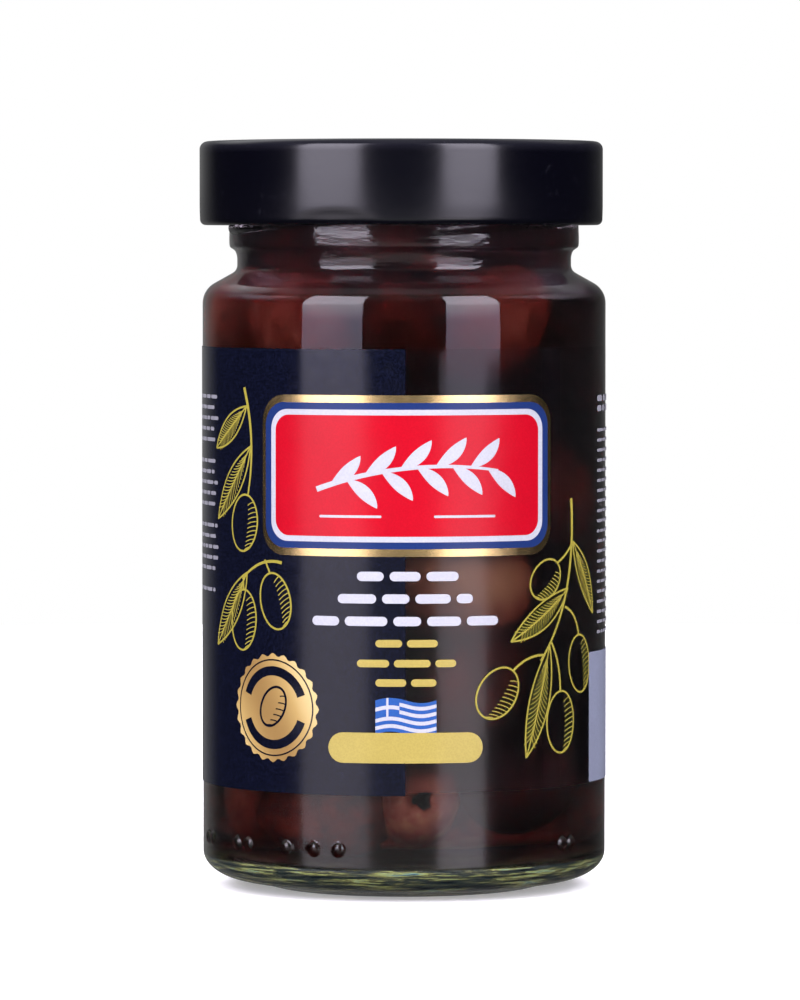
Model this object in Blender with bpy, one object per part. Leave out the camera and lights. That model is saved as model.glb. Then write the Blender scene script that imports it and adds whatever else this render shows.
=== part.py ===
"""A shut glass jar of pitted olives: turned glass, a pressed twist-off lid, a film label and the olives inside.

Metres, +Z up. The origin is the centre of the foot, on the surface that the jar stands on. The label's front
faces -Y, and every bearing below is measured from -Y towards +X, in degrees.
"""

import math

import bmesh
import bpy
import numpy as np
from mathutils import Matrix, Vector

MM = 0.001

# Driving sizes, in millimetres
JAR_RADIUS = 33.2
WALL = 2.4
BODY_TOP = 95.9
NECK_RADIUS = 27.5
BAND_RADIUS = 28.8
BAND_LOW = 105.4
MOUTH_RADIUS = 25.8
GLASS_TOP = 121.5
FOOT_RING = (20.2, 22.0)
FLOOR_HEIGHT = 4.8
HEEL_RADIUS = 7.0
HEEL_RISE = 4.6
HEEL_LOW = 1.15
SHOULDER_RADIUS = 3.8
SHOULDER_TURN = 62
SIDES = 60

LID_RADIUS = 33.2
LID_LOW = 108.75
LID_TOP = 122.5
SHEET = 0.7
CURL_RADIUS = 0.95
LID_EDGE = 1.3
LID_SHIFT = -0.48
LUG_BEARINGS = (-18.9, 71.1, 161.1, 251.1)
LUG_HALF_ANGLE = 14.5
LUG_HEIGHT = 2.8
LUG_DEPTH = 0.22

THREAD_STARTS = (-80, 10, 100, 190)
THREAD_SPAN = 64
THREAD_STEPS = 12
THREAD_LOW = 108.2
THREAD_RISE = 1.9
THREAD_OUT = 29.5

DOT_HEIGHT = 8.6
DOT_BEARINGS = (-74.5, -69.7, -54.6, -49.5, -35.0, -25.8, -18.6, 50.4, 54.4)
DOT_SIZE = (0.95, 0.95, 1.1)

LABEL_GAP = 0.3
LABEL_THICKNESS = 0.2
LABEL_LOW = 17.3
LABEL_HIGH = 88.9

# The olives, in millimetres: half lengths, girths as a share of them, and the space that they fill
OLIVE_COUNT = 60
OLIVE_HALF_LENGTH = (10.2, 12.4)
OLIVE_GIRTH = (0.66, 0.74)
PACK_HEIGHTS = (6.6, 9.6, 95.0, 101.5)
PACK_RADII = (29.0, 30.4, 30.4, 24.7)
PACK_TOP = 116.0
SETTLE_STEPS = 900
CORE_RADIUS = 21.5
CORE_NECK_RADIUS = 15.0
CORE_RANGE = (9.5, 105.0)
SHOWN_REACH = 24.5
OLIVE_SIDES = 8
PIT_RADIUS = 1.5
PIT_DEPTH = 2.6

# Olives placed where they show best: bearing, height, distance of the centre from the axis, half length, girth
# share, and the long axis as (across, outwards, up). The others settle round these.
PLACED_OLIVES = (
    (3.5, 15.4, 19.8, 11.2, 0.63, (0.10, 1.0, 0.10)),
    (-31.0, 14.6, 21.6, 12.2, 0.72, (1.0, 0.05, 0.10)),
    (-61.0, 16.5, 21.8, 11.0, 0.70, (0.4, 0.1, 1.0)),
    (19.5, 51.2, 21.2, 12.4, 0.74, (1.0, 0.08, -0.10)),
    (35.0, 92.5, 21.0, 11.4, 0.72, (0.7, 0.1, 0.8)),
    (-43.0, 92.0, 21.0, 11.4, 0.72, (0.8, 0.1, -0.6)),
    (22.0, 34.0, 21.8, 11.4, 0.72, (0.75, -0.05, 0.75)),
    (-80.0, 91.0, 21.6, 12.0, 0.73, (0.6, 0.0, 1.0)),
    (-4.0, 91.0, 20.0, 11.0, 0.70, (0.5, 0.6, 0.9)),
    (47.0, 18.5, 21.8, 11.8, 0.72, (1.0, 0.0, 0.35)),
    (72.0, 90.5, 21.6, 11.8, 0.72, (0.3, 0.1, 1.0)),
    (-20.0, 106.5, 16.0, 11.0, 0.70, (1.0, 0.1, 0.1)),
    (38.0, 107.0, 16.0, 11.0, 0.70, (1.0, 0.0, -0.2)),
)


def clear_scene():
    for obj in list(bpy.data.objects):
        bpy.data.objects.remove(obj, do_unlink=True)


def finish(name, colour, roughness, metallic=0.0, see_through=0.0, alpha=1.0):
    """A material with one Principled BSDF."""
    material = bpy.data.materials.new(name)
    material.use_nodes = True
    shader = material.node_tree.nodes["Principled BSDF"]
    shader.inputs["Base Color"].default_value = (*colour, 1.0)
    shader.inputs["Roughness"].default_value = roughness
    shader.inputs["Metallic"].default_value = metallic
    shader.inputs["Transmission Weight"].default_value = see_through
    shader.inputs["Alpha"].default_value = alpha
    return material


def new_object(name, mesh_data, material):
    """Turns a bmesh in millimetres into a named object in metres, shaded smooth with its creases kept."""
    bmesh.ops.transform(mesh_data, matrix=Matrix.Scale(MM, 4), verts=mesh_data.verts)
    bmesh.ops.recalc_face_normals(mesh_data, faces=mesh_data.faces)
    mesh = bpy.data.meshes.new(name)
    mesh_data.to_mesh(mesh)
    mesh_data.free()
    mesh.shade_smooth()
    mesh.set_sharp_from_angle(angle=math.radians(38))
    mesh.materials.append(material)
    obj = bpy.data.objects.new(name, mesh)
    bpy.context.scene.collection.objects.link(obj)
    return obj


def arc(centre, reach, start, end, steps):
    """Points (radius, height) on an ellipse's arc, from one angle to another in degrees."""
    return [
        (centre[0] + reach[0] * math.cos(math.radians(a)), centre[1] + reach[1] * math.sin(math.radians(a)))
        for a in np.linspace(start, end, steps + 1)
    ]


def at_bearing(bearing, radius, height):
    """The point at a bearing, a distance from the axis and a height."""
    angle = math.radians(bearing)
    return Vector((radius * math.sin(angle), -radius * math.cos(angle), height))


def turned(profile, sides, closed=False):
    """A body of revolution about Z from (radius, height) points, as a bmesh in millimetres."""
    shape = bmesh.new()
    verts = [shape.verts.new(at_bearing(0, r, z)) for r, z in profile]
    pairs = list(zip(verts, verts[1:]))
    if closed:
        pairs.append((verts[-1], verts[0]))
    edges = [shape.edges.new(pair) for pair in pairs]
    bmesh.ops.spin(
        shape, geom=verts + edges, cent=(0, 0, 0), axis=(0, 0, 1), angle=2 * math.pi, steps=sides, use_merge=True
    )
    bmesh.ops.remove_doubles(shape, verts=shape.verts, dist=0.002)
    return shape


def fuse(target, pieces):
    """Joins the pieces to the target with one Boolean union, applies it and removes them."""
    group = bpy.data.collections.new(target.name + "_pieces")
    bpy.context.scene.collection.children.link(group)
    for piece in pieces:
        bpy.context.scene.collection.objects.unlink(piece)
        group.objects.link(piece)
    union = target.modifiers.new("union", "BOOLEAN")
    union.operation = "UNION"
    union.operand_type = "COLLECTION"
    union.collection = group
    union.solver = "EXACT"
    bpy.context.view_layer.objects.active = target
    bpy.ops.object.modifier_apply(modifier=union.name)
    for piece in list(group.objects):
        bpy.data.objects.remove(piece, do_unlink=True)
    bpy.data.collections.remove(group)


# The glass


def glass_profile():
    """The glass from the middle of its underside, up the outside, over the lip and down the inside."""
    inner_radius = JAR_RADIUS - WALL
    heel_centre = (JAR_RADIUS - HEEL_RADIUS, HEEL_LOW + HEEL_RISE)
    shoulder_centre = (JAR_RADIUS - SHOULDER_RADIUS, BODY_TOP)
    inner_shoulder = SHOULDER_RADIUS - WALL
    foot = [(0, 2.6), (12.0, 2.2), (17.6, 1.2), (FOOT_RING[0], 0), (FOOT_RING[1], 0)]
    heel = arc(heel_centre, (HEEL_RADIUS, HEEL_RISE), -90, 0, 5)
    shoulder = arc(shoulder_centre, (SHOULDER_RADIUS, SHOULDER_RADIUS), 0, SHOULDER_TURN, 4)
    neck = arc((NECK_RADIUS + 1.5, 102.2), (1.5, 1.5), 238, 180, 2)
    band = [(NECK_RADIUS - 0.1, 104.0), (NECK_RADIUS + 0.6, 104.6), (BAND_RADIUS, BAND_LOW), (BAND_RADIUS, 108.6)]
    lip = [(28.4, 119.8), (28.0, 120.9), (27.3, GLASS_TOP), (26.5, GLASS_TOP), (MOUTH_RADIUS, 120.8)]
    inner_neck = [(MOUTH_RADIUS - 0.5, 102.6), (26.1, 100.8)]
    inside = arc(shoulder_centre, (inner_shoulder, inner_shoulder), SHOULDER_TURN, 0, 2)
    floor = arc((inner_radius - 4.5, FLOOR_HEIGHT + 4.5), (4.5, 4.5), 0, -90, 4)
    return foot + heel + shoulder + neck + band + lip + inner_neck + inside + floor + [(12.0, 5.6), (0, 6.2)]


def thread_ridge(start, material):
    """One sloping ridge of the twist-off thread: a low section carried round the neck, rising and tapered at its ends."""
    shape = bmesh.new()
    rings = []
    for step in range(THREAD_STEPS + 1):
        share = step / THREAD_STEPS
        swell = min(1.0, 4 * math.sin(math.pi * (0.04 + 0.92 * share)))
        crest = 28.4 + (THREAD_OUT - 28.4) * swell
        middle = THREAD_LOW + THREAD_RISE * share
        half = 0.5 + 0.6 * swell
        section = [(28.0, -half), (crest - 0.25, -half * 0.6), (crest, 0), (crest - 0.25, half * 0.6), (28.0, half)]
        bearing = start + THREAD_SPAN * share
        rings.append([shape.verts.new(at_bearing(bearing, r, middle + z)) for r, z in section])
    for ring, after in zip(rings, rings[1:]):
        for i in range(len(ring)):
            j = (i + 1) % len(ring)
            shape.faces.new((ring[i], ring[j], after[j], after[i]))
    shape.faces.new(rings[0])
    shape.faces.new(rings[-1])
    return new_object("thread_ridge", shape, material)


def glass_dot(bearing, material):
    """One small raised dot of glass in the row above the heel."""
    shape = bmesh.new()
    bmesh.ops.create_icosphere(shape, subdivisions=1, radius=1)
    place = (
        Matrix.Translation(at_bearing(bearing, JAR_RADIUS - 0.45, DOT_HEIGHT))
        @ Matrix.Rotation(math.radians(bearing), 4, "Z")
        @ Matrix.Diagonal((*DOT_SIZE, 1))
    )
    bmesh.ops.transform(shape, matrix=place, verts=shape.verts)
    return new_object("glass_dot", shape, material)


def make_glass():
    glass = finish("clear_glass", (0.86, 0.90, 0.84), 0.03, see_through=1.0)
    jar = new_object("glass_jar", turned(glass_profile(), SIDES), glass)
    ridges = [thread_ridge(start, glass) for start in THREAD_STARTS]
    dots = [glass_dot(bearing, glass) for bearing in DOT_BEARINGS]
    fuse(jar, ridges + dots)
    return jar


# The lid


def lid_profile():
    """The lid from the middle of its top, out over the rim, down the skirt, round the curl and back inside."""
    panel_top = LID_TOP - 0.75
    land_low = LID_TOP - SHEET
    curl_centre = (LID_RADIUS - CURL_RADIUS, LID_LOW + CURL_RADIUS)
    top = [(0, panel_top - 0.15), (10.0, panel_top - 0.15), (11.2, panel_top), (24.9, panel_top), (26.1, LID_TOP)]
    rim = arc((LID_RADIUS - LID_EDGE, LID_TOP - LID_EDGE), (LID_EDGE, LID_EDGE), 90, 0, 3)
    skirt = [(LID_RADIUS, LID_LOW + 5.5), (LID_RADIUS, LID_LOW + 3.2), (LID_RADIUS, LID_LOW + 2.0)]
    curl = arc(curl_centre, (CURL_RADIUS, CURL_RADIUS), 0, -180, 4)
    inside = [(LID_RADIUS - SHEET, LID_LOW + 2.6), (LID_RADIUS - SHEET, LID_TOP - 2.2), (31.2, land_low)]
    under = [(25.5, land_low), (24.6, panel_top - SHEET), (0, panel_top - SHEET - 0.1)]
    return top + rim + skirt + curl + inside + under


def press_lugs(shape):
    """Pushes the foot of the skirt inwards at each lug, over a low arch that fades out at its edge."""
    for vert in shape.verts:
        bearing = math.degrees(math.atan2(vert.co.x, -vert.co.y))
        rise = (vert.co.z - LID_LOW) / LUG_HEIGHT
        for lug in LUG_BEARINGS:
            turn = (bearing - lug + 180) % 360 - 180
            depth = 1 - (turn / LUG_HALF_ANGLE) ** 2 - rise**2
            if depth > 0 and vert.co.xy.length > MOUTH_RADIUS:
                vert.co.xy -= vert.co.xy.normalized() * LUG_DEPTH * depth**2 * (3 - 2 * depth)


def make_lid():
    black = finish("black_lacquer", (0.012, 0.013, 0.017), 0.34)
    shape = turned(lid_profile(), SIDES)
    press_lugs(shape)
    bmesh.ops.translate(shape, verts=shape.verts, vec=(LID_SHIFT, 0, 0))
    return new_object("lid", shape, black)


# The label


def make_label():
    """The wrapped film, as a thin ring just clear of the glass."""
    low_radius = JAR_RADIUS + LABEL_GAP
    high_radius = low_radius + LABEL_THICKNESS
    ring = [(low_radius, LABEL_LOW), (high_radius, LABEL_LOW), (high_radius, LABEL_HIGH), (low_radius, LABEL_HIGH)]
    film = finish("printed_film", (0.015, 0.018, 0.045), 0.35)
    return new_object("label_film", turned(ring, SIDES, closed=True), film)


# The olives


def pack_radius_at(height):
    """The radius of the space for olives at each height, from the heel up to the neck."""
    return np.interp(height, PACK_HEIGHTS, PACK_RADII)


def settled_olives():
    """Centres, long axes, half lengths and girths of the olives, packed as they lie in the jar.

    Each olive stands for three balls in a row. Balls of two olives that overlap push each other apart, the
    wall and the floor push them in, and all sink a little at each step. The placed olives never move.
    """
    rng = np.random.default_rng(11)
    count = OLIVE_COUNT
    half_length = rng.uniform(*OLIVE_HALF_LENGTH, count)
    girth = half_length * rng.uniform(*OLIVE_GIRTH, count)
    turn = rng.uniform(0, 2 * math.pi, count)
    spread = 20 * np.sqrt(rng.uniform(0, 1, count))
    held = len(PLACED_OLIVES)
    floor = PACK_HEIGHTS[0]
    height = np.concatenate([np.zeros(held), np.linspace(floor + 8, PACK_TOP - 8, count - held)])
    centre = np.stack([spread * np.sin(turn), -spread * np.cos(turn), height], 1)
    axis = rng.normal(0, 1, (count, 3))
    axis[:, 2] *= 0.8
    for i, (bearing, z, radius, half, share, (across, outwards, up)) in enumerate(PLACED_OLIVES):
        outward = np.array(at_bearing(bearing, 1, 0))
        sideways = np.array(at_bearing(bearing + 90, 1, 0))
        centre[i] = at_bearing(bearing, radius, z)
        axis[i] = across * sideways + outwards * outward + up * np.array((0, 0, 1))
        half_length[i], girth[i] = half, half * share
    axis /= np.linalg.norm(axis, axis=1)[:, None]
    ball = np.stack([0.78 * girth, girth, 0.78 * girth], 1)
    reach = (half_length - ball[:, 0])[:, None] * np.array((-1, 0, 1))
    same = np.repeat(np.arange(count), 3)
    other = same[:, None] != same[None]
    held_centre, held_axis = centre[:held].copy(), axis[:held].copy()
    radii = ball.ravel()
    for step in range(SETTLE_STEPS):
        at = (centre[:, None] + reach[:, :, None] * axis[:, None]).reshape(-1, 3)
        apart = at[:, None] - at[None]
        distance = np.linalg.norm(apart, axis=2) + 1e-9
        overlap = np.where(other, radii[:, None] + radii[None] - distance, 0).clip(0)
        push = 0.5 * (apart / distance[:, :, None] * overlap[:, :, None]).sum(1)
        out = np.linalg.norm(at[:, :2], axis=1) + 1e-9
        beyond = (out + radii - pack_radius_at(at[:, 2])).clip(0)
        push[:, :2] -= at[:, :2] / out[:, None] * beyond[:, None]
        push[:, 2] += (floor + radii - at[:, 2]).clip(0) - (at[:, 2] + radii - PACK_TOP).clip(0)
        push = push.reshape(count, 3, 3)
        centre += 0.6 * push.sum(1)
        axis += 0.5 * (push * (reach / half_length[:, None] ** 2)[:, :, None]).sum(1)
        axis /= np.linalg.norm(axis, axis=1)[:, None]
        centre[:, 2] -= 0.12 * max(0.0, 1 - step / (0.7 * SETTLE_STEPS))
        centre[:held], axis[:held] = held_centre, held_axis
    return centre, axis, half_length, girth


def olive_shape(centre, axis, half_length, girth, material):
    """One olive with few sides: a blunt tip, the pit's hole at the plump end, and flat where it meets the glass."""
    rim = math.asin(PIT_RADIUS / girth)
    profile = [(0.0, half_length * math.cos(rim) - PIT_DEPTH)]
    for angle in np.linspace(rim, math.pi, 7)[:-1]:
        plump = 1 + 0.06 * math.cos(angle)
        profile.append((girth * math.sin(angle) * plump, half_length * math.cos(angle)))
    profile.append((0.0, -half_length))
    shape = turned(profile, OLIVE_SIDES)
    towards = Vector((0, 0, 1)).rotation_difference(Vector(axis)).to_matrix().to_4x4()
    bmesh.ops.transform(shape, matrix=Matrix.Translation(Vector(centre)) @ towards, verts=shape.verts)
    for vert in shape.verts:
        limit = pack_radius_at(vert.co.z)
        if vert.co.xy.length > limit:
            vert.co.xy *= limit / vert.co.xy.length
        vert.co.z = min(max(vert.co.z, PACK_HEIGHTS[0]), PACK_TOP)
    return new_object("olive", shape, material)


def make_olives():
    """The heap: a core with every olive that shows at the glass or on top fused on."""
    flesh = finish("olive_flesh", (0.16, 0.07, 0.06), 0.32)
    low, high = CORE_RANGE
    shoulder, neck = PACK_HEIGHTS[2:]
    core = [
        (0, low),
        (CORE_RADIUS - 3, low),
        (CORE_RADIUS, low + 3),
        (CORE_RADIUS, shoulder),
        (CORE_NECK_RADIUS, neck),
        (CORE_NECK_RADIUS, high),
        (0, high),
    ]
    heap = new_object("olives", turned(core, 16), flesh)
    pieces = []
    for centre, axis, half_length, girth in zip(*settled_olives()):
        tip = math.hypot(centre[0], centre[1]) + girth + (half_length - girth) * math.hypot(axis[0], axis[1])
        shows = tip > SHOWN_REACH or centre[2] > neck
        if shows:
            pieces.append(olive_shape(centre, axis, half_length, girth, flesh))
    fuse(heap, pieces)
    return heap


clear_scene()
make_glass()
make_lid()
make_label()
make_olives()
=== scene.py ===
"""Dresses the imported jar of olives: clear glass, brine, pitted olives, lacquered lid and the printed film.

Sizes are in millimetres until a mesh is made, and bearings are in degrees from the label's front (-Y)
towards +X. Shapes are numpy grids: rows run along a profile or path, columns round the jar's axis or across
a stroke. Lights, the camera and the floor are placed in metres.
"""

import bpy
import numpy as np
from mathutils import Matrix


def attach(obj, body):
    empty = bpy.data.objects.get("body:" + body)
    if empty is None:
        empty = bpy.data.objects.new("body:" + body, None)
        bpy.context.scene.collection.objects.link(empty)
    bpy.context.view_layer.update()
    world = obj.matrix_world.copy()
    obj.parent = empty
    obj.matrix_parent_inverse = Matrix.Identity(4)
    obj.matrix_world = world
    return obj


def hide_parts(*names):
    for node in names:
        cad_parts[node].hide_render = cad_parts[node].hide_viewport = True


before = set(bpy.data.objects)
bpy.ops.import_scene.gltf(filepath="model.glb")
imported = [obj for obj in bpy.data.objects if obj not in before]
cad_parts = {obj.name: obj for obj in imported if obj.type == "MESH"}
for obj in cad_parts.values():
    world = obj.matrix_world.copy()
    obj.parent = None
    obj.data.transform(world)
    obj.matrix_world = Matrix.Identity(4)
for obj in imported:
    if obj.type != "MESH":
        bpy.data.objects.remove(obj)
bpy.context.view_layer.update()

MM = 0.001

# The jar, as in the part's source
JAR_RADIUS = 33.2
WALL = 2.4
BODY_TOP = 95.9
NECK_RADIUS = 27.5
BAND_RADIUS = 28.8
MOUTH_RADIUS = 25.8
GLASS_TOP = 121.5
FOOT_RING = (20.2, 22.0)
FLOOR_HEIGHT = 4.8
HEEL_RADIUS = 7.0
HEEL_RISE = 4.6
HEEL_LOW = 1.15
SHOULDER_RADIUS = 3.8
SHOULDER_TURN = 62
THREAD_STARTS = (-80, 10, 100, 190)
THREAD_SPAN = 64
THREAD_LOW = 108.2
THREAD_RISE = 1.9
THREAD_OUT = 29.5
DOT_HEIGHT = 8.6
DOT_BEARINGS = (-74.5, -69.7, -54.6, -49.5, -35.0, -25.8, -18.6, 50.4, 54.4)
LID_RADIUS = 33.2
LID_LOW = 108.75
LID_TOP = 122.5
SHEET = 0.7
CURL_RADIUS = 0.95
LID_EDGE = 1.3
LID_SHIFT = -0.48
LUG_BEARINGS = (-18.9, 71.1, 161.1, 251.1)
LUG_HALF_ANGLE = 14.5
LUG_HEIGHT = 2.8
LUG_DEPTH = 0.22

# The glass's finer relief, each ripple with its size and phase
THREAD_BASE = 28.7
DOT_HALF_WIDTH = 1.0
DOT_HALF_HEIGHT = 1.1
DOT_PROUD = 0.5
SEAM_BEARINGS = (39.0, 219.0)
SEAM_STEP = 4.4
SEAM_WIDTH = 0.25
SEAM_PROUD = 0.06
NECK_FROM = 97.0
FOOT_TO = 4.9
OUTER_RIPPLE = (0.02, 0.7)
INNER_RIPPLE = (0.08, 2.1)
RIPPLED_RADII = (24.0, JAR_RADIUS - 1.5)
RIPPLED_HEIGHTS = (9.0, 96.0)
PROFILE_STEP = 2.4

# The lid's panel, inside and skirt
PANEL_DROP = 0.75
BUTTON_DROP = 0.15
SKIRT_TUCK = 0.05
LID_INSIDE = 32.5

# The film and its print
FILM_RADIUS = 33.26
FILM_THICKNESS = 0.05
FILM_LOW = 17.3
FILM_HIGH = 88.9
FILM_SEAM = 42.0
FILM_TURN = 367
FILM_COLUMNS = 246
LAP_FROM = 0.975
LAP_RISE = 0.045
INK = 0.012
INK_THICKNESS = 0.008
INK_CREASE = 35
WORD_GAP = 0.63

# The olives, as in the part's source
OLIVE_COUNT = 60
OLIVE_HALF_LENGTH = (10.2, 12.4)
OLIVE_GIRTH = (0.66, 0.74)
PACK_HEIGHTS = (6.6, 9.6, 95.0, 101.5)
PACK_RADII = (29.0, 30.4, 30.4, 24.7)
PACK_TOP = 116.0
SETTLE_STEPS = 900
SETTLE_MOVE = 0.6
SETTLE_TURN = 0.5
SINK_STEP = 0.12
SINK_SHARE = 0.7
END_BALL = 0.78
BRINE_TOP = 114.0
BRINE_BITE = 0.12
OLIVE_COLUMNS = 40
PIT_RADIUS = 1.5
PIT_DEPTH = 5.0
PRESS_SOFTNESS = 0.35

# The olives placed as in the photo: bearing, height and radius of the middle, half length, girth as a share
# of that, and the way the long axis points (across, outwards, up)
PLACED_OLIVES = (
    (3.5, 15.4, 19.8, 11.2, 0.63, (0.10, 1.0, 0.10)),
    (-31.0, 14.6, 21.6, 12.2, 0.72, (1.0, 0.05, 0.10)),
    (-61.0, 16.5, 21.8, 11.0, 0.70, (0.4, 0.1, 1.0)),
    (19.5, 51.2, 21.2, 12.4, 0.74, (1.0, 0.08, -0.10)),
    (35.0, 92.5, 21.0, 11.4, 0.72, (0.7, 0.1, 0.8)),
    (-43.0, 92.0, 21.0, 11.4, 0.72, (0.8, 0.1, -0.6)),
    (22.0, 34.0, 21.8, 11.4, 0.72, (0.75, -0.05, 0.75)),
    (-80.0, 91.0, 21.6, 12.0, 0.73, (0.6, 0.0, 1.0)),
    (-4.0, 91.0, 20.0, 11.0, 0.70, (0.5, 0.6, 0.9)),
    (47.0, 18.5, 21.8, 11.8, 0.72, (1.0, 0.0, 0.35)),
    (72.0, 90.5, 21.6, 11.8, 0.72, (0.3, 0.1, 1.0)),
    (-20.0, 106.5, 16.0, 11.0, 0.70, (1.0, 0.1, 0.1)),
    (38.0, 107.0, 16.0, 11.0, 0.70, (1.0, 0.0, -0.2)),
)
# How pale each placed olive is, from 0 for nearly black to 1 for tan
PLACED_TONES = (0.82, 0.46, 0.58, 1.0, 0.60, 0.66, 0.44, 0.62, 0.38, 0.20, 0.05, 0.42, 0.28)

# The floor and the camera, in metres and degrees
FLOOR_RADIUS = 0.7
FLOOR_SIDES = 96
CAMERA_DISTANCE = 1.024
CAMERA_HEIGHT = 0.1058
CAMERA_TILT = 2.37
CAMERA_TURN = 0.038
CAMERA_LENS = 223.5


# Meshes


def in_scene(name, data):
    """An object made from a mesh, a light or a camera, and put in the scene."""
    made = bpy.data.objects.new(name, data)
    bpy.context.scene.collection.objects.link(made)
    return made


def piece_from(name, parts, material, tone=None, crease=None):
    """One piece from (points, faces) pairs in millimetres, smooth, riding on the jar.

    tone is a number for each point, and crease the angle in degrees above which an edge is sharp.
    """
    verts, faces, start = [], [], 0
    for points, quads in parts:
        verts.append(points.reshape(-1, 3))
        faces.extend((quads + start).tolist())
        start += len(verts[-1])
    mesh = bpy.data.meshes.new(name)
    mesh.from_pydata((np.concatenate(verts) * MM).tolist(), [], [list(dict.fromkeys(face)) for face in faces])
    mesh.shade_smooth()
    if crease:
        mesh.set_sharp_from_angle(angle=np.radians(crease))
    mesh.materials.append(material)
    if tone is not None:
        layer = mesh.attributes.new("tone", "FLOAT", "POINT")
        layer.data.foreach_set("value", tone.astype(np.float32))
    piece = in_scene(name, mesh)
    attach(piece, "root")
    return piece


def grid_faces(rows, columns, across=False, along=False):
    """Corner numbers of a grid's quads; across joins the last column to the first, along the last row."""
    number = np.arange(rows * columns).reshape(rows, columns)
    if across:
        number = np.concatenate([number, number[:, :1]], 1)
    if along:
        number = np.concatenate([number, number[:1]], 0)
    corners = number[:-1, :-1], number[:-1, 1:], number[1:, 1:], number[1:, :-1]
    return np.stack(corners, -1).reshape(-1, 4)


def round_axis(radius, height, bearing):
    """Points at (radius, height) rows and bearing columns: (r sin b, -r cos b, z)."""
    angle = np.radians(bearing)
    height = np.broadcast_to(height, radius.shape)
    return np.stack([radius * np.sin(angle), -radius * np.cos(angle), height], -1)


def with_poles(points, faces):
    """A grid with its first and last rows each made one point: points, faces and the points' old numbers."""
    rows, columns = points.shape[:2]
    last = (rows - 1) * columns
    faces = np.where(faces < columns, 0, faces)
    faces = np.where(faces >= last, last, faces)
    used, faces = np.unique(faces, return_inverse=True)
    return points.reshape(-1, 3)[used], faces.reshape(-1, 4), used


def turned(profile, bearings, relief):
    """A body of revolution: each profile point (r, z) carried round, with relief(r, z, bearing) added to r.

    The profile starts and ends on the axis.
    """
    radius = np.repeat(profile[:, :1], len(bearings), 1)
    height = np.repeat(profile[:, 1:], len(bearings), 1)
    radius = radius + relief(radius, height, np.broadcast_to(bearings, radius.shape))
    points = round_axis(radius, height, bearings)
    points, faces, _ = with_poles(points, grid_faces(*radius.shape, across=True))
    return points, faces


def turn_from(origin, bearing):
    """The turn from one bearing to another, between -180 and 180 degrees."""
    return (bearing - origin + 180) % 360 - 180


def arc(centre, reach, start, end, steps):
    """Points (radius, height) on an ellipse's arc, from one angle to another in degrees."""
    angle = np.radians(np.linspace(start, end, steps + 1))
    return np.stack([centre[0] + reach[0] * np.cos(angle), centre[1] + reach[1] * np.sin(angle)], 1)


def filled(profile, step):
    """The profile with points added evenly wherever two neighbours are further apart than step."""
    gap = np.hypot(*np.diff(profile, axis=0).T)
    pieces = np.maximum(1, np.ceil(gap / step)).astype(int)
    at = np.concatenate([i + np.arange(n) / n for i, n in enumerate(pieces)] + [[len(profile) - 1]])
    number = np.arange(len(profile))
    return np.stack([np.interp(at, number, profile[:, 0]), np.interp(at, number, profile[:, 1])], 1)


def softened(profile, rounds):
    """The profile with each corner cut a quarter of the way along its two sides, rounds times, ends kept."""
    for _ in range(rounds):
        near, far = profile[:-1] * 0.75 + profile[1:] * 0.25, profile[:-1] * 0.25 + profile[1:] * 0.75
        inner = np.stack([near, far], 1).reshape(-1, 2)
        profile = np.concatenate([profile[:1], inner, profile[-1:]])
    return profile


# Materials


def node(tree, kind, **values):
    """Adds a shader node, with its properties and then its input values set by name."""
    made = tree.nodes.new(kind)
    for name, value in values.items():
        if name in made.inputs:
            made.inputs[name].default_value = value
        else:
            setattr(made, name, value)
    return made


def feed(into, socket, value):
    """Links a value to a node's input."""
    into.id_data.links.new(value, into.inputs[socket])


def shader(name, **values):
    """A material with one Principled BSDF; a name's underscores stand for the spaces of its sockets."""
    material = bpy.data.materials.new(name)
    material.use_nodes = True
    tree = material.node_tree
    principled = tree.nodes["Principled BSDF"]
    for socket, value in values.items():
        principled.inputs[socket.replace("_", " ")].default_value = value
    return material, tree, principled


def object_place(tree):
    """The socket of Object coordinates."""
    return node(tree, "ShaderNodeTexCoord").outputs["Object"]


def noise(tree, scale, detail=3.0, roughness=0.55, stretch=(1, 1, 1)):
    """Noise on Object coordinates, with scale in cycles a metre."""
    mapping = node(tree, "ShaderNodeMapping", Scale=stretch)
    feed(mapping, "Vector", object_place(tree))
    made = node(tree, "ShaderNodeTexNoise", Scale=scale, Detail=detail, Roughness=roughness)
    feed(made, "Vector", mapping.outputs[0])
    return made.outputs["Fac"]


def ranged(value, low, high, to_low, to_high):
    """The value mapped from one range to another and held inside it."""
    made = node(value.id_data, "ShaderNodeMapRange")
    for socket, number in zip(("From Min", "From Max", "To Min", "To Max"), (low, high, to_low, to_high)):
        made.inputs[socket].default_value = number
    feed(made, "Value", value)
    return made.outputs["Result"]


def maths(operation, first, second):
    """A Math node on two sockets."""
    made = node(first.id_data, "ShaderNodeMath", operation=operation)
    feed(made, 0, first)
    feed(made, 1, second)
    return made.outputs[0]


def ramp(value, stops):
    """A colour ramp from (position, (r, g, b)) stops."""
    made = node(value.id_data, "ShaderNodeValToRGB")
    elements = made.color_ramp.elements
    while len(elements) < len(stops):
        elements.new(0.5)
    for element, (position, colour) in zip(elements, stops):
        element.position = position
        element.color = (*colour, 1)
    feed(made, "Fac", value)
    return made.outputs["Color"]


def bumped(principled, value, height, strength=1.0):
    """Raises the surface by value times height, in metres."""
    bump = node(principled.id_data, "ShaderNodeBump", Strength=strength, Distance=height)
    feed(bump, "Height", value)
    feed(principled, "Normal", bump.outputs[0])


def height_of(tree):
    """The Object coordinate's height, in metres."""
    parts = node(tree, "ShaderNodeSeparateXYZ")
    feed(parts, 0, object_place(tree))
    return parts.outputs["Z"]


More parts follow.
